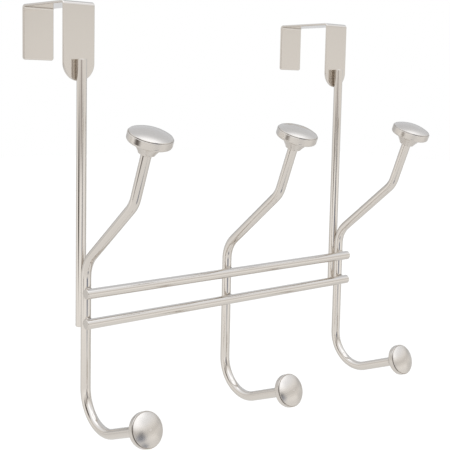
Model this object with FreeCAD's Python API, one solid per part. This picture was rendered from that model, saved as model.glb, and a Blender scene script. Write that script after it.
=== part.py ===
import FreeCAD, Part
import math
import os

# Over-door hook rack, welded from round wire and folded flat strap. All sizes in millimetres.
# X runs along the door, +Y goes into the door, +Z is up. The origin is where the door's top
# edge meets its front face, midway between the two brackets, so the strap lies on Z = 0 and
# the front leg's back face lies on Y = 0.

# Folded door brackets
strap_width = 21.0
strap_thickness = 1.5
door_gap = 45.0
front_leg_length = 44.0
rear_leg_length = 31.6
fold_inner_radius = 1.0
rear_corner_radius = 1.6
strap_edge_radius = 0.65

# Round wire, the same for every rod
wire_diameter = 6.0
cut_end_radius = 0.45

# Uprights: how far one runs up the tongue, and how far it passes the lower crossbar
upright_overlap = 12.7
upright_tail = 0.7

# Crossbars
hook_pitch = 107.8
upper_bar_drop = 165.7
bar_spacing = 17.7
bar_overhang = 0.6

# Bent hook wire. Lengths run from bend point to bend point, angles are above the horizontal
arm_root_height = 16.9
arm_length = 61.5
arm_angle = 39.5
tip_length = 30.3
tip_angle = 69.3
corner_depth = 69.9
lower_arm_length = 57.4
lower_arm_angle = 20.8
arm_bend_radius = 18.0
tip_bend_radius = 15.8
corner_bend_radius = 21.1

# Weld set-down: how far the hot faces sink towards each other
strap_weld_sink = 0.2
parallel_weld_sink = 0.3
crossing_weld_sink = 0.5

# Upper knobs
upper_knob_diameter = 25.0
upper_rim_height = 4.7
upper_dome_height = 3.4
upper_neck_height = 6.1
upper_neck_top_diameter = 17.0

# Lower knobs
lower_knob_diameter = 20.2
lower_rim_height = 4.15
lower_dome_height = 3.0
lower_neck_height = 5.0
lower_neck_top_diameter = 13.6

# What both knobs share. The rim ends in a rounded lip that turns in past its crown. The dome
# stands on a low steep step behind it, so that a narrow crease runs round between the two
neck_wall = 1.9
neck_foot_radius = 0.9
rim_under_radius = 1.5
lip_radius = 0.3
lip_turn = 40.0
dome_step_height = 0.5
dome_step_lean = 8.0
dome_edge_radius = 0.2
socket_depth = 4.6
socket_clearance = 0.05

# Press tool's overlap past the strap, and how close two lengths are to count as equal
tool_margin = 1.0
match = 0.01

# Places that follow from the sizes above
wire_radius = wire_diameter / 2
upright_y = -(strap_thickness + wire_radius - strap_weld_sink)
hook_y = upright_y - (wire_diameter - parallel_weld_sink)
bar_y = hook_y - (wire_diameter - crossing_weld_sink)
upper_bar_z = -upper_bar_drop
lower_bar_z = upper_bar_z - bar_spacing
arm_root_z = upper_bar_z + arm_root_height
corner_z = lower_bar_z - corner_depth
upright_top = -front_leg_length + upright_overlap
upright_bottom = lower_bar_z - wire_radius - upright_tail
places = {"left": -hook_pitch, "centre": 0.0, "right": hook_pitch}


def point(y, z):
    """A point in the plane X = 0, where every bent form is drawn."""
    return FreeCAD.Vector(0, y, z)


def arc(start, middle, end):
    return Part.Arc(start, middle, end).toShape()


def line(start, end):
    return Part.LineSegment(start, end).toShape()


def rounded_path(corners, radii):
    """Straight runs through the corners, joined by tangent arcs."""
    edges = []
    start = corners[0]
    for before, corner, after, radius in zip(corners, corners[1:], corners[2:], radii):
        back = (before - corner).normalize()
        ahead = (after - corner).normalize()
        half = back.getAngle(ahead) / 2
        setback = radius / math.tan(half)
        entry = corner + back * setback
        leave = corner + ahead * setback
        inward = (back + ahead).normalize()
        crown = corner + inward * (radius / math.sin(half) - radius)
        edges.append(line(start, entry))
        edges.append(arc(entry, crown, leave))
        start = leave
    edges.append(line(start, corners[-1]))
    return Part.Wire(edges)


def straight_rod(start, end, radius, end_round):
    """A rod cut square, with its two cut edges broken."""
    run = end - start
    rod = Part.makeCylinder(radius, run.Length, start, run)
    rims = [edge for edge in rod.Edges if edge.Closed and edge.Curve.TypeId == "Part::GeomCircle"]
    return rod.makeFillet(end_round, rims)


def door_bracket(x):
    """One strap folded over the door: long tongue in front, short leg behind."""
    half_thickness = strap_thickness / 2
    fold_radius = fold_inner_radius + half_thickness
    corners = [
        point(-half_thickness, -front_leg_length),
        point(-half_thickness, half_thickness),
        point(door_gap + half_thickness, half_thickness),
        point(door_gap + half_thickness, -rear_leg_length),
    ]
    spine = rounded_path(corners, [fold_radius, fold_radius])
    near, far = -strap_width / 2, strap_width / 2
    foot = [
        FreeCAD.Vector(near, -strap_thickness, -front_leg_length),
        FreeCAD.Vector(far, -strap_thickness, -front_leg_length),
        FreeCAD.Vector(far, 0, -front_leg_length),
        FreeCAD.Vector(near, 0, -front_leg_length),
    ]
    strap = spine.makePipeShell([Part.makePolygon(foot + foot[:1])], True, False)
    strap = strap.cut(tongue_waste())
    strap = strap.makeFillet(rear_corner_radius, [edge for edge in strap.Edges if is_rear_corner(edge)])
    strap = strap.makeFillet(strap_edge_radius, [edge for edge in strap.Edges if is_outline(edge)])
    return strap.translate(FreeCAD.Vector(x, 0, 0))


def tongue_waste():
    """What the press tool cuts away outside the full-round end of the tongue."""
    radius = strap_width / 2
    round_z = radius - front_leg_length
    corner = FreeCAD.Vector(-strap_width, -strap_thickness - tool_margin, round_z - strap_width)
    depth = strap_thickness + 2 * tool_margin
    block = Part.makeBox(2 * strap_width, depth, strap_width, corner)
    axis_start = FreeCAD.Vector(0, corner.y, round_z)
    return block.cut(Part.makeCylinder(radius, depth, axis_start, FreeCAD.Vector(0, 1, 0)))


def is_rear_corner(edge):
    """True on the two square corners at the foot of the rear leg."""
    box = edge.BoundBox
    across = abs(box.YLength - strap_thickness) < match and box.ZLength < match
    return across and box.YMin > door_gap / 2 and abs(box.ZMin + rear_leg_length) < match


def is_outline(edge):
    """True on the edges that run round the strap's rim, and not across it or along a fold."""
    box = edge.BoundBox
    across_thickness = abs(edge.Length - strap_thickness) < match
    along_fold = box.XLength > strap_width - match and box.ZMax > match - rear_leg_length
    return not across_thickness and not along_fold


def hook_centre_line():
    """Bend points of one hook wire, from the upper wire end to the lower one."""
    root = point(hook_y, arm_root_z)
    elbow = root + direction(arm_angle) * arm_length
    upper_end = elbow + direction(tip_angle) * (tip_length + socket_depth)
    corner = point(hook_y, corner_z)
    lower_end = corner + direction(lower_arm_angle) * (lower_arm_length + socket_depth)
    return [upper_end, elbow, root, corner, lower_end]


def direction(angle):
    """Unit vector that leans out from the door, at an angle above the horizontal."""
    return point(-math.cos(math.radians(angle)), math.sin(math.radians(angle)))


def hook_wire(x):
    corners = hook_centre_line()
    path = rounded_path(corners, [tip_bend_radius, arm_bend_radius, corner_bend_radius])
    section = Part.Wire(Part.makeCircle(wire_radius, corners[0], corners[1] - corners[0]))
    return path.makePipeShell([section], True, False).translate(FreeCAD.Vector(x, 0, 0))


def swing(centre, radius, start, end):
    """Start, middle and end of an arc in the half section, by its angles in degrees."""
    turns = [math.radians(angle) for angle in (start, (start + end) / 2, end)]
    return [centre + half_section(radius * math.cos(turn), radius * math.sin(turn)) for turn in turns]


def half_section(radius, height):
    return FreeCAD.Vector(radius, 0, height)


def knob(diameter, rim_height, dome_height, neck_height, neck_top_diameter):
    """A turned knob on its own axis, +Z outwards, with the neck's foot at Z = 0."""
    rim = diameter / 2
    foot = wire_radius + neck_wall
    socket = wire_radius + socket_clearance
    face = neck_height + rim_height

    floor_middle = half_section(0, socket_depth)
    floor_edge = half_section(socket, socket_depth)
    mouth = half_section(socket, 0)
    foot_round = swing(half_section(foot - neck_foot_radius, neck_foot_radius), neck_foot_radius, -90, 0)
    neck_top = half_section(neck_top_diameter / 2, neck_height)
    under_centre = half_section(rim - rim_under_radius, neck_height + rim_under_radius)
    under_round = swing(under_centre, rim_under_radius, -90, 0)
    lip = swing(half_section(rim - lip_radius, face - lip_radius), lip_radius, 0, 90 + lip_turn)

    crease = lip[-1]
    lean = math.radians(dome_step_lean)
    step_top = crease + half_section(-dome_step_height * math.tan(lean), dome_step_height)
    edge_centre = step_top - half_section(math.cos(lean), math.sin(lean)) * dome_edge_radius
    crown = half_section(0, face + dome_height)
    rise = crown.z - dome_edge_radius - edge_centre.z
    inner_radius = (edge_centre.x**2 + rise**2) / (2 * rise)
    dome_radius = inner_radius + dome_edge_radius
    dome_start = 90 - math.degrees(math.asin(edge_centre.x / inner_radius))
    dome_edge = swing(edge_centre, dome_edge_radius, dome_step_lean, dome_start)
    dome = swing(crown - half_section(0, dome_radius), dome_radius, dome_start, 90)

    outline = [
        line(floor_middle, floor_edge),
        line(floor_edge, mouth),
        line(mouth, foot_round[0]),
        arc(*foot_round),
        line(foot_round[-1], neck_top),
        line(neck_top, under_round[0]),
        arc(*under_round),
        line(under_round[-1], lip[0]),
        arc(*lip),
        line(crease, step_top),
        arc(*dome_edge),
        arc(*dome),
        line(crown, floor_middle),
    ]
    section = Part.Face(Part.Wire(outline))
    return section.revolve(FreeCAD.Vector(0, 0, 0), FreeCAD.Vector(0, 0, 1), 360)


def seated_knob(shape, x, wire_end, angle):
    """Places a knob so that the wire's end stands on the floor of its socket."""
    foot = wire_end - direction(angle) * socket_depth
    turn = FreeCAD.Rotation(FreeCAD.Vector(1, 0, 0), 90 - angle)
    seated = shape.copy()
    seated.Placement = FreeCAD.Placement(foot + FreeCAD.Vector(x, 0, 0), turn)
    return seated


def crossbar(z, hook_wires):
    """A rod across the front of the hook wires, sunk a little into each."""
    reach = hook_pitch + wire_radius + bar_overhang
    rod = straight_rod(
        FreeCAD.Vector(-reach, bar_y, z), FreeCAD.Vector(reach, bar_y, z), wire_radius, cut_end_radius
    )
    for wire in hook_wires:
        rod = rod.cut(wire)
    return rod


def upright(x, bracket, wire):
    """A rod down the front of the tongue and behind the outer hook wire."""
    top = FreeCAD.Vector(x, upright_y, upright_top)
    bottom = FreeCAD.Vector(x, upright_y, upright_bottom)
    return straight_rod(top, bottom, wire_radius, cut_end_radius).cut(bracket).cut(wire)


def build():
    nodes = {}
    wires = {side: hook_wire(x) for side, x in places.items()}
    for side in ("left", "right"):
        bracket = door_bracket(places[side])
        nodes[side + "_door_bracket"] = bracket
        nodes[side + "_upright"] = upright(places[side], bracket, wires[side])
    nodes["upper_crossbar"] = crossbar(upper_bar_z, wires.values())
    nodes["lower_crossbar"] = crossbar(lower_bar_z, wires.values())
    upper = knob(
        upper_knob_diameter, upper_rim_height, upper_dome_height, upper_neck_height, upper_neck_top_diameter
    )
    lower = knob(
        lower_knob_diameter, lower_rim_height, lower_dome_height, lower_neck_height, lower_neck_top_diameter
    )
    upper_end = hook_centre_line()[0]
    lower_end = hook_centre_line()[-1]
    for side, x in places.items():
        nodes[side + "_hook_wire"] = wires[side]
        nodes[side + "_upper_knob"] = seated_knob(upper, x, upper_end, tip_angle)
        nodes[side + "_lower_knob"] = seated_knob(lower, x, lower_end, lower_arm_angle)
    return nodes


os.makedirs("parts", exist_ok=True)
for node, shape in build().items():
    solids = shape.Solids
    print(node, "solids", len(solids), "valid", shape.isValid(), "volume", round(shape.Volume, 1))
    if len(solids) == 1:
        shape = solids[0]
    shape.exportStep("parts/" + node + ".step")
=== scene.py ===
# %% [markdown]
# # A welded rack that hangs over a door
# The rack is bent round wire and folded strap, all plated in satin nickel. Its solids come ready
# made and stay where they are. This file gives them their metal, adds small weld lumps where the
# crossbars meet the hook wires, and sets up a plain studio. Everything is in metres.

# %% Load the frame
import math

import bpy
from mathutils import Matrix, Vector


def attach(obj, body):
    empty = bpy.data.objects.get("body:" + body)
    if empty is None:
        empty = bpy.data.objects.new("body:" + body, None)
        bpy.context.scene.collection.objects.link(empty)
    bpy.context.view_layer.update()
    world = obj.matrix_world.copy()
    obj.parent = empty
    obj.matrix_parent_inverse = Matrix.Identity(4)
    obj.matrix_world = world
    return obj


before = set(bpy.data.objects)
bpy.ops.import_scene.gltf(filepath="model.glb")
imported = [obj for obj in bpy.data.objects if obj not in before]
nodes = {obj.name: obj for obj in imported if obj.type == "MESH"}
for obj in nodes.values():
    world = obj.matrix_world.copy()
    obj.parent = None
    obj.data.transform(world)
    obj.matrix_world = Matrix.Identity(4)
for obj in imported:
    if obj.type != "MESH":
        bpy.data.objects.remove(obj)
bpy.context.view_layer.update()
print("nodes:", sorted(nodes))

# %% [markdown]
# ## Camera
# The photograph was taken from the left, a little above the hooks, with a fairly long lens. The
# straight rods of the rack run towards vanishing points. These and the outline fix where the camera
# stood. A camera looks along its own -Z, so its turn is built from three directions: right, up and
# back.

# %% Camera
camera_place = Vector((-0.39, -0.4596, -0.0459))
camera_yaw = math.radians(40.72)
camera_pitch = math.radians(6.04)
camera_roll = math.radians(1.2)
camera_lens = 73.6
camera_shift_y = -0.089


def make_camera():
    level = math.cos(camera_pitch)
    forward = Vector((math.sin(camera_yaw) * level, math.cos(camera_yaw) * level, -math.sin(camera_pitch)))
    right = Vector((math.cos(camera_yaw), -math.sin(camera_yaw), 0))
    up = right.cross(forward)
    rolled_right = right * math.cos(camera_roll) + up * math.sin(camera_roll)
    rolled_up = up * math.cos(camera_roll) - right * math.sin(camera_roll)
    data = bpy.data.cameras.new("camera")
    data.lens = camera_lens
    data.shift_y = camera_shift_y
    camera = bpy.data.objects.new("camera", data)
    turn = Matrix((rolled_right, rolled_up, -forward)).transposed()
    camera.matrix_world = Matrix.Translation(camera_place) @ turn.to_4x4()
    bpy.context.scene.collection.objects.link(camera)
    bpy.context.scene.camera = camera
    return camera


camera = make_camera()
bpy.context.scene.view_settings.view_transform = "Standard"
print("camera at", tuple(round(v, 3) for v in camera.location))

# %% [markdown]
# ## Shader maths
# A shader is a graph of nodes. Written out node by node it is hard to read, so a small class wraps
# a socket and lets Python's own operators add the Math nodes. Any other node comes from one method,
# which first makes the node's settings and then fills or links its sockets. Some nodes carry
# several sockets of one name and show only the one that fits their settings, so the method picks
# the socket that is enabled.

# %% A socket that takes part in arithmetic


class Signal:
    """A value that a tree works out at each point or in each direction."""

    def __init__(self, graph, socket):
        self.graph = graph
        self.socket = socket

    def math(self, operation, *values):
        return self.graph.add("ShaderNodeMath", {"operation": operation}, dict(enumerate(values)))["Value"]

    def __add__(self, other):
        return self.math("ADD", self, other)

    def __sub__(self, other):
        return self.math("SUBTRACT", self, other)

    def __rsub__(self, other):
        return self.math("SUBTRACT", other, self)

    def __mul__(self, other):
        return self.math("MULTIPLY", self, other)

    def __truediv__(self, other):
        return self.math("DIVIDE", self, other)

    def __rtruediv__(self, other):
        return self.math("DIVIDE", other, self)

    def __pow__(self, other):
        return self.math("POWER", self, other)

    def __neg__(self):
        return self.math("MULTIPLY", self, -1.0)

    def __abs__(self):
        return self.math("ABSOLUTE", self)

    __radd__ = __add__
    __rmul__ = __mul__

    def rise(self, low, high):
        """Runs smoothly from 0, where the value is at low, to 1, where it is at high."""
        settings = {"interpolation_type": "SMOOTHSTEP"}
        limits = {"Value": self, "From Min": low, "From Max": high}
        return self.graph.add("ShaderNodeMapRange", settings, limits)["Result"]

    def blend(self, low, high):
        """Runs from low to high as the value runs from 0 to 1."""
        return low + self * (high - low)


class Graph:
    """Adds any node to a tree: its settings first, then the values or links of its sockets."""

    def __init__(self, tree):
        self.tree = tree
        tree.nodes.clear()

    def add(self, kind, settings=None, inputs=None):
        node = self.tree.nodes.new(kind)
        for name, value in (settings or {}).items():
            setattr(node, name, value)
        for name, value in (inputs or {}).items():
            if isinstance(name, int):
                socket = node.inputs[name]
            else:
                socket = next(socket for socket in node.inputs if socket.enabled and socket.name == name)
            if isinstance(value, Signal):
                self.tree.links.new(value.socket, socket)
            else:
                socket.default_value = value
        return {socket.name: Signal(self, socket) for socket in node.outputs if socket.enabled}

    def parts(self, vector):
        """The three numbers of a vector."""
        split = self.add("ShaderNodeSeparateXYZ", None, {"Vector": vector})
        return split["X"], split["Y"], split["Z"]

    def mixed(self, factor, first, second):
        """One colour that turns into another as the factor runs from 0 to 1."""
        colours = {"Factor": factor, "A": first, "B": second}
        return self.add("ShaderNodeMix", {"data_type": "RGBA"}, colours)["Result"]

    def seen_directly(self):
        """1 for rays from the camera and for reflections, 0 for the light that rooms scatter."""
        ray = self.add("ShaderNodeLightPath")
        seen = ray["Is Camera Ray"] + ray["Is Glossy Ray"] + ray["Is Transmission Ray"]
        return self.add("ShaderNodeClamp", None, {"Value": seen})["Result"]


def new_material(name):
    material = bpy.data.materials.new(name)
    material.use_nodes = True
    return material, Graph(material.node_tree)


# %% [markdown]
# ## A tent of white cloth
# Metal has hardly a colour of its own: it shows the room. A product photographer hangs a tent of
# white cloth round such a thing, lights the cloth from outside, and lets the metal mirror it. The
# tent here is the world itself, painted by direction: an even white at the sides, a bright roof,
# a bright window of light in front of the hooks, and a duller, cooler stretch behind, dullest low
# down. Each stretch ends in a soft edge, because a soft edge is what makes satin metal look satin. A
# duller band runs all round just above the horizon. These levels aren't known from the real studio:
# they were tuned until the metal's shades came near the photograph's. The camera sees plain white,
# and the scattered light that falls on the floor is plain too.

# %% Tent
# How bright each stretch of cloth is. Paper white is 1.
side_level, climb_level, skyline_level = 1.0, 1.2, 0.78
rear_level, window_level, roof_level, far_level = 0.84, 1.7, 1.75, 0.76
room_light = 0.8
white_cloth, cool_cloth = (1, 1, 1, 1), (0.95, 1.0, 1.08, 1)

# Where each stretch fades in or out, in degrees above the horizon.
climb_rise = (5, 50)
skyline_bottom, skyline_top = (3, 9), (11, 21)
rear_rise, window_rise, roof_rise = (8, 32), (18, 42), (44, 63)
far_top = (12, 30)

# The window stands at this azimuth and fades out this many degrees to either side of it.
window_azimuth, window_side = -12, (8, 34)

# How far a direction points away from the camera, from -1 to 1, where a stretch fades in or out.
away_x, away_y = math.sin(camera_yaw), math.cos(camera_yaw)
rear_away, roof_away, far_away = (0.38, 0.78), (0.06, 0.34), (0.3, 0.75)

# The cloth turns cool with height and away from the camera.
cool_height, cool_away, cool_away_share = (0.25, 0.7), (0.1, 0.9), 0.6


def above(z, elevations):
    """Runs from 0 to 1 between two elevations. Z is the upward part of a direction."""
    low, high = (math.sin(math.radians(elevation)) for elevation in elevations)
    return z.rise(low, high)


def make_tent():
    world = bpy.data.worlds.new("tent")
    world.use_nodes = True
    shading = Graph(world.node_tree)
    x, y, z = shading.parts(shading.add("ShaderNodeTexCoord")["Generated"])
    azimuth = x.math("ARCTAN2", x, -y)
    away = x * away_x + y * away_y
    side = above(z, climb_rise).blend(side_level, climb_level)
    skyline = above(z, skyline_bottom) * (1 - above(z, skyline_top))
    wall = skyline.blend(side, skyline_level)
    rear = (away / (x * x + y * y) ** 0.5).rise(*rear_away) * above(z, rear_rise)
    wall = rear.blend(wall, rear_level)
    beside = abs(azimuth - math.radians(window_azimuth))
    window = (1 - beside.rise(*map(math.radians, window_side))) * above(z, window_rise)
    wall = window.blend(wall, window_level)
    roof = above(z, roof_rise) * (1 - away.rise(*roof_away))
    wall = roof.blend(wall, roof_level)
    far = away.rise(*far_away) * (1 - above(z, far_top))
    wall = wall * far.blend(1.0, far_level)
    seen = shading.seen_directly()
    cool = (z.rise(*cool_height) + away.rise(*cool_away) * cool_away_share) * seen
    cloth = shading.mixed(cool, white_cloth, cool_cloth)
    camera_ray = shading.add("ShaderNodeLightPath")["Is Camera Ray"]
    lit_cloth = {"Color": cloth, "Strength": seen.blend(room_light, wall)}
    lit = shading.add("ShaderNodeBackground", None, lit_cloth)["Background"]
    plain = shading.add("ShaderNodeBackground", None, {"Color": white_cloth, "Strength": 1.0})["Background"]
    shown = shading.add("ShaderNodeMixShader", None, {"Fac": camera_ray, 1: lit, 2: plain})["Shader"]
    shading.add("ShaderNodeOutputWorld", None, {"Surface": shown})
    bpy.context.scene.world = world
    return world


tent = make_tent()
print("tent nodes:", len(tent.node_tree.nodes))

# %% [markdown]
# ## Floor and lamp
# The floor is white paper, far enough below the rack that the rack looks hung. Paper scatters
# light, so a plain diffuse shader and one broad lamp give it a soft shadow. In reflections most of
# the paper's light is a set, painted glow, brighter far out and with painted shade behind the rack.
# The lamp is hidden from reflections, because the metal already mirrors the tent.

# %% Floor and lamp
floor_z = -0.62
floor_size = 12.0
floor_paint = 0.92
floor_tint = (0.985, 1.0, 1.02, 1)
floor_out_from, floor_out_level = (0.8, 2.5), 1.3
floor_behind_from, floor_behind_level = (-0.1, 0.5), 0.72
floor_glow_share = 0.7
lamp_strength = 1.3
lamp_spread = 24.0
lamp_from = Vector((-0.45, -0.75, 1.3))
rack_centre = Vector((0, -0.02, -0.13))


def make_floor():
    half = floor_size / 2
    mesh = bpy.data.meshes.new("floor")
    corners = [(-half, -half, floor_z), (half, -half, floor_z), (half, half, floor_z), (-half, half, floor_z)]
    mesh.from_pydata(corners, [], [(0, 1, 2, 3)])
    floor = bpy.data.objects.new("floor", mesh)
    bpy.context.scene.collection.objects.link(floor)
    material, shading = new_material("floor_paper")
    paper = shading.add("ShaderNodeBsdfDiffuse", None, {"Color": (floor_paint, floor_paint, floor_paint, 1)})
    x, y, _ = shading.parts(shading.add("ShaderNodeTexCoord")["Object"])
    # The glow is painted light: brighter far out, with painted shade behind the rack.
    out = ((x * x + y * y) ** 0.5).rise(*floor_out_from).blend(1.0, floor_out_level)
    level = (x * away_x + y * away_y).rise(*floor_behind_from).blend(out, floor_behind_level)
    glow = shading.add("ShaderNodeEmission", None, {"Color": floor_tint, "Strength": level})
    mirrored = shading.add("ShaderNodeLightPath")["Is Glossy Ray"]
    share = mirrored * floor_glow_share
    surface = shading.add("ShaderNodeMixShader", None, {"Fac": share, 1: paper["BSDF"], 2: glow["Emission"]})
    shading.add("ShaderNodeOutputMaterial", None, {"Surface": surface["Shader"]})
    mesh.materials.append(material)
    return floor


def make_lamp():
    data = bpy.data.lights.new("broad_lamp", "SUN")
    data.angle = math.radians(lamp_spread)
    data.energy = lamp_strength
    lamp = bpy.data.objects.new("broad_lamp", data)
    lamp.rotation_mode = "QUATERNION"
    lamp.rotation_quaternion = (-lamp_from).to_track_quat("-Z", "Y")
    lamp.visible_glossy = False
    bpy.context.scene.collection.objects.link(lamp)
    return lamp


floor = make_floor()
lamp = make_lamp()
print("floor at", floor_z, "lamp strength", lamp.data.energy)

# %% [markdown]
# ## Dark cards
# A white tent alone would make the rods look flat. Dark cards close by put back the thin dark lines
# that show a rod is round. Being near, a card moves in the reflection from one hook to the next,
# which a painted tent can't do. Each card fades out towards its rim, and only reflections see it.
#
# - The front card and the low card put the soft dark spot on the lower knobs. Both also draw thin
#   lines down the uprights, and the low card's line shows on the hook wires too.
# - The under card carries the spot on to the left lower knob's edge. It also draws a thin line down
#   the tips of the left and centre hooks.
# - The left card draws the brown line down the uprights, the hooks' tips and the lower bends.
# - The side card, beside the camera, shades the middle of the uprights and the straps' tongues.

# %% Cards
def dark_card(name, place, width, tall, core, shade):
    """An oval card that faces the rack, even in its core and clear at its rim."""
    mesh = bpy.data.meshes.new(name)
    mesh.from_pydata([(-1, -1, 0), (1, -1, 0), (1, 1, 0), (-1, 1, 0)], [], [(0, 1, 2, 3)])
    material, shading = new_material(name)
    x, y, _ = shading.parts(shading.add("ShaderNodeTexCoord")["Object"])
    cover = 1 - ((x * x + y * y) ** 0.5).rise(core, 1.0)
    glow = shading.add("ShaderNodeEmission", None, {"Color": (*shade, 1), "Strength": 1.0})
    clear = shading.add("ShaderNodeBsdfTransparent")
    surface = shading.add("ShaderNodeMixShader", None, {"Fac": cover, 1: clear["BSDF"], 2: glow["Emission"]})
    shading.add("ShaderNodeOutputMaterial", None, {"Surface": surface["Shader"]})
    mesh.materials.append(material)
    card = bpy.data.objects.new(name, mesh)
    facing = (rack_centre - Vector(place)).to_track_quat("Z", "Y").to_matrix().to_4x4()
    size = Matrix.Diagonal((width / 2, tall / 2, 1, 1))
    card.matrix_world = Matrix.Translation(place) @ facing @ size
    card.visible_camera = False
    card.visible_diffuse = False
    card.visible_shadow = False
    card.visible_transmission = False
    bpy.context.scene.collection.objects.link(card)
    return card


# Each row: name, place, width, height, how much of it is even, and its shade.
cards = [
    dark_card("front_card", (-0.13, -0.6, -0.14), 0.2, 0.22, 0.5, (0.06, 0.065, 0.08)),
    dark_card("low_card", (-0.14, -0.6, -0.255), 0.56, 0.31, 0.25, (0.2, 0.24, 0.34)),
    dark_card("under_card", (-0.07, -0.3, -0.372), 0.21, 0.14, 0.3, (0.2, 0.23, 0.31)),
    dark_card("left_card", (-0.43, -0.015, -0.145), 0.3, 0.26, 0.25, (0.06, 0.04, 0.03)),
    dark_card("side_card", (-0.42, -0.42, -0.07), 0.56, 0.24, 0.3, (0.5, 0.47, 0.47)),
]
print("cards:", [card.name for card in cards])

# %% [markdown]
# ## Satin nickel
# Nickel plate is a warm light grey mirror that has been dulled a little. One recipe serves every
# piece: a metal whose roughness wanders slightly, with hair-fine lines that run the way the steel
# was drawn, rolled or turned, and faint clouds of shade.
#
# The lines are noise that is squeezed across them and stretched along them, so each kind of piece
# only says which way its lines run. Rods and straps run along an axis. A bent hook wire lies in a
# plane of constant X, so its lines are drawn at constant X too. A knob is turned, so its lines are
# rings about its own axis.

# %% Nickel recipe
nickel = (0.655, 0.61, 0.555, 1)
nickel_cloud = (0.63, 0.58, 0.525, 1)
# The colour of random dark spots on the welds and of the painted shade in the knobs' creases.
dark_spot_and_painted_shade = (0.25, 0.225, 0.2, 1)
cloud_size = 0.02
cloud_colour_share, cloud_roughness_share = 0.4, 0.5
roughness_spread = 0.2
line_depth, line_strength = 0.0000025, 0.5
line_width, line_length = 0.0004, 0.07
fine, long = 1 / line_width, 1 / line_length


def satin_nickel(shading, grain, roughness, spots_and_painted_shade=None):
    """Plated steel. Grain is a vector that changes fast across its lines and slowly along them.

    Spots and painted shade is 1 where the metal turns dark: painted shade and reflection in a knob's crease,
    random dark spots on a weld.
    """
    place = shading.add("ShaderNodeTexCoord")["Object"]
    cloud_noise = {"Vector": place, "Scale": 1 / cloud_size, "Detail": 3.0, "Roughness": 0.5}
    clouds = shading.add("ShaderNodeTexNoise", None, cloud_noise)["Fac"]
    lines = shading.add("ShaderNodeTexNoise", None, {"Vector": grain, "Scale": 1.0, "Detail": 2.0})["Fac"]
    shade = clouds * cloud_colour_share + lines * (1 - cloud_colour_share)
    colour = shading.mixed(shade, nickel, nickel_cloud)
    # Painted shade and reflection in the knobs' creases, and random dark spots on the welds.
    if spots_and_painted_shade is not None:
        colour = shading.mixed(spots_and_painted_shade, colour, dark_spot_and_painted_shade)
    worn = clouds * cloud_roughness_share + lines * (1 - cloud_roughness_share)
    rough = worn.blend(roughness * (1 - roughness_spread), roughness * (1 + roughness_spread))
    relief = {"Strength": line_strength, "Distance": line_depth, "Height": lines}
    bump = shading.add("ShaderNodeBump", None, relief)["Normal"]
    metal = {"Base Color": colour, "Metallic": 1.0, "Roughness": rough, "Normal": bump}
    surface = shading.add("ShaderNodeBsdfPrincipled", None, metal)["BSDF"]
    shading.add("ShaderNodeOutputMaterial", None, {"Surface": surface})


def straight_metal(name, line_scale, roughness):
    """Lines along one axis: the line scale is long that way and fine across it."""
    material, shading = new_material(name)
    place = shading.add("ShaderNodeTexCoord")["Object"]
    grain = shading.add("ShaderNodeMapping", None, {"Vector": place, "Scale": line_scale})["Vector"]
    satin_nickel(shading, grain, roughness)
    return material


# %% [markdown]
# ## Turned knobs
# The three upper knobs share one material and so do the three lower ones. The hooks stand at an
# even pitch, so X is wrapped by that pitch, which brings every knob onto the middle one. Then the
# place is read along and across the knob's own axis, which leans out from the door.
#
# Between a knob's dome and its lip runs a crease with a painted dark line, which stands for shade and
# a reflection. Feet and creases are pairs: (Y, Z) of the knob's foot, and (out from the axis, along
# the axis) of the crease. The painted shade is darkest on one side, which the turn gives: 0 is the
# knob's -X side, and 90 degrees the side that faces down or out from the door. Painted on, it suits
# the main camera's viewpoint and doesn't move with the camera.

# %% Knob material
pitch = 0.1078
upper_tilt, lower_tilt = math.radians(69.3), math.radians(20.8)
upper_foot, lower_foot = (-0.06816, -0.08134), (-0.06366, -0.23292)
upper_crease = (0.01194, 0.0108)
lower_crease = (0.00974, 0.00915)
upper_turn, lower_turn = math.radians(49), math.radians(8)
crease_core, crease_reach = 0.0002, 0.0005
crease_side, crease_faint, crease_dark = (0.7, 0.95), 0.15, 0.85


def knob_metal(name, foot, tilt, crease, turn, roughness):
    """Rings about the knob's axis, and painted shade on the crease round its dome, darkest on one side."""
    material, shading = new_material(name)
    x, y, z = shading.parts(shading.add("ShaderNodeTexCoord")["Object"])
    across = x.math("WRAP", x, pitch / 2, -pitch / 2)
    out, up = y - foot[0], z - foot[1]
    along = up * math.sin(tilt) - out * math.cos(tilt)
    beside = out * math.sin(tilt) + up * math.cos(tilt)
    radius = (across * across + beside * beside) ** 0.5
    turned = {"X": (radius + along) * fine, "Y": across * long, "Z": beside * long}
    rings = shading.add("ShaderNodeCombineXYZ", None, turned)["Vector"]
    # Painted shade and reflection: a dark line round the crease, strongest on the side the turn gives.
    miss = ((radius - crease[0]) ** 2 + (along - crease[1]) ** 2) ** 0.5
    facing = -(across * math.cos(turn) + beside * math.sin(turn)) / crease[0]
    dark = facing.rise(*crease_side).blend(crease_faint, crease_dark)
    satin_nickel(shading, rings, roughness, (1 - miss.rise(crease_core, crease_reach)) * dark)
    return material


# %% Metal for each kind of piece
strap_metal = straight_metal("strap_nickel", (fine, long, long), 0.14)
bar_metal = straight_metal("bar_nickel", (long, fine, fine), 0.13)
upright_metal = straight_metal("upright_nickel", (fine, fine, long), 0.11)
hook_metal = straight_metal("hook_nickel", (fine, long, long), 0.13)
upper_knob_metal = knob_metal("upper_knob_nickel", upper_foot, upper_tilt, upper_crease, upper_turn, 0.22)
lower_knob_metal = knob_metal("lower_knob_nickel", lower_foot, lower_tilt, lower_crease, lower_turn, 0.27)

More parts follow.
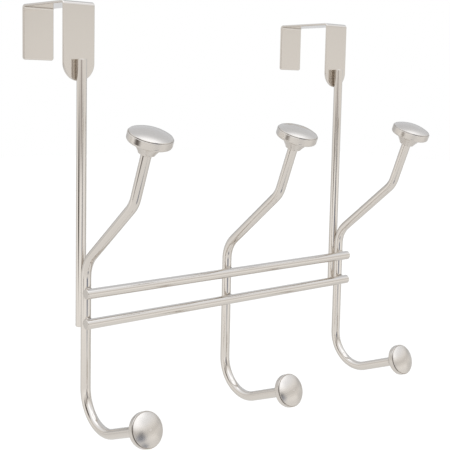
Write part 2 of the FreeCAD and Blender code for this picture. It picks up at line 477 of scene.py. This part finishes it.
# %% [markdown]
# ## Welds
# The two crossbars lie across the front of the three hook wires. Racks of this kind are usually
# pressed together at each crossing while a current melts the steel, and a little of it squeezes out
# into a ring. The photograph is too coarse to show more than dark corners there, so the rings' form
# is a guess.
#
# All six rings are alike but never equal, so Geometry Nodes make them: a grid of six points, one
# ring on each, and noise that pushes its surface in and out. The noise is read at the place in the
# rack, so that every ring gets lumps of its own. Two round rods that cross touch in a saddle, so the
# ring is bent the same way, half as much as each rod falls away from the other.

# %% Weld metal
weld_spot_size, weld_spot_edge = 0.0012, (0.4, 0.6)
weld_roughness = 0.3


def weld_metal():
    """Plate over an uneven weld: rougher than the rods, with dark spots in no pattern."""
    material, shading = new_material("weld_nickel")
    place = shading.add("ShaderNodeTexCoord")["Object"]
    spots = shading.add("ShaderNodeTexNoise", None, {"Vector": place, "Scale": 1 / weld_spot_size})["Fac"]
    grain = shading.add("ShaderNodeMapping", None, {"Vector": place, "Scale": (fine, fine, fine)})["Vector"]
    satin_nickel(shading, grain, weld_roughness, spots.rise(*weld_spot_edge))
    return material


# %% Weld rings
wire_radius = 0.003
weld_sizes = {
    "Pitch": pitch,
    "Bar Gap": 0.0177,
    "Wire Radius": wire_radius,
    "Ring Radius": 0.00265,
    "Bead Radius": 0.0006,
    "Unevenness": 0.0005,
    "Lump Size": 0.0016,
}
weld_centre = (0, -0.01275, -0.17455)
ring_steps, bead_steps = 48, 14


def weld_tree(sizes, place, material):
    """Six uneven rings, at the crossings of two bars with three wires."""
    tree = bpy.data.node_groups.new("weld_rings", "GeometryNodeTree")
    graph = Graph(tree)
    for name, value in sizes.items():
        entry = tree.interface.new_socket(name, in_out="INPUT", socket_type="NodeSocketFloat")
        entry.default_value = value
    tree.interface.new_socket("Geometry", in_out="OUTPUT", socket_type="NodeSocketGeometry")
    size = graph.add("NodeGroupInput")
    span = {"Size X": size["Pitch"] * 2, "Size Y": size["Bar Gap"], "Vertices X": 3, "Vertices Y": 2}
    grid = graph.add("GeometryNodeMeshGrid", None, span)["Mesh"]
    upright = (math.radians(90), 0, 0)
    moved = {"Geometry": grid, "Translation": place, "Rotation": upright}
    crossings = graph.add("GeometryNodeTransform", None, moved)["Geometry"]
    round_ring = {"Resolution": ring_steps, "Radius": size["Ring Radius"]}
    circle = graph.add("GeometryNodeCurvePrimitiveCircle", None, round_ring)["Curve"]
    turned = {"Geometry": circle, "Rotation": upright}
    flat_ring = graph.add("GeometryNodeTransform", None, turned)["Geometry"]
    x, _, z = graph.parts(graph.add("GeometryNodeInputPosition")["Position"])
    radius = size["Wire Radius"]
    saddle = ((radius * radius - z * z) ** 0.5 - (radius * radius - x * x) ** 0.5) * 0.5
    sag = graph.add("ShaderNodeCombineXYZ", None, {"Y": saddle})["Vector"]
    ring = graph.add("GeometryNodeSetPosition", None, {"Geometry": flat_ring, "Offset": sag})["Geometry"]
    round_bead = {"Resolution": bead_steps, "Radius": size["Bead Radius"]}
    bead = graph.add("GeometryNodeCurvePrimitiveCircle", None, round_bead)["Curve"]
    tube = graph.add("GeometryNodeCurveToMesh", None, {"Curve": ring, "Profile Curve": bead})["Mesh"]
    placed = {"Points": crossings, "Instance": tube}
    copies = graph.add("GeometryNodeInstanceOnPoints", None, placed)["Instances"]
    rings = graph.add("GeometryNodeRealizeInstances", None, {"Geometry": copies})["Geometry"]
    lumps = graph.add("ShaderNodeTexNoise", None, {"Scale": 1 / size["Lump Size"], "Detail": 1.0})["Fac"]
    normal = graph.add("GeometryNodeInputNormal")["Normal"]
    swell = {"Vector": normal, "Scale": (lumps - 0.5) * size["Unevenness"]}
    push = graph.add("ShaderNodeVectorMath", {"operation": "SCALE"}, swell)["Vector"]
    uneven = graph.add("GeometryNodeSetPosition", None, {"Geometry": rings, "Offset": push})["Geometry"]
    smooth = graph.add("GeometryNodeSetShadeSmooth", None, {"Geometry": uneven})["Geometry"]
    plated = {"Geometry": smooth, "Material": material}
    dressed = graph.add("GeometryNodeSetMaterial", None, plated)["Geometry"]
    graph.add("NodeGroupOutput", None, {"Geometry": dressed})
    return tree


def make_welds():
    welds = bpy.data.objects.new("weld_rings", bpy.data.meshes.new("weld_rings"))
    bpy.context.scene.collection.objects.link(welds)
    modifier = welds.modifiers.new("weld_rings", "NODES")
    modifier.node_group = weld_tree(weld_sizes, weld_centre, weld_metal())
    for entry in modifier.node_group.interface.items_tree:
        if entry.in_out == "INPUT":
            modifier[entry.identifier] = weld_sizes[entry.name]
    evaluated = welds.evaluated_get(bpy.context.evaluated_depsgraph_get())
    mesh = bpy.data.meshes.new_from_object(evaluated)
    welds.modifiers.clear()
    welds.data = mesh
    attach(welds, "root")
    return welds


welds = make_welds()
print("welds:", len(welds.data.polygons), "faces")

# %% Dress the solids
metal_of = {
    "door_bracket": strap_metal,
    "crossbar": bar_metal,
    "upright": upright_metal,
    "hook_wire": hook_metal,
    "upper_knob": upper_knob_metal,
    "lower_knob": lower_knob_metal,
}
for node in nodes:
    metal = next(metal for kind, metal in metal_of.items() if node.endswith(kind))
    for material_slot in nodes[node].material_slots:
        material_slot.material = metal
print("dressed", len(nodes), "nodes")
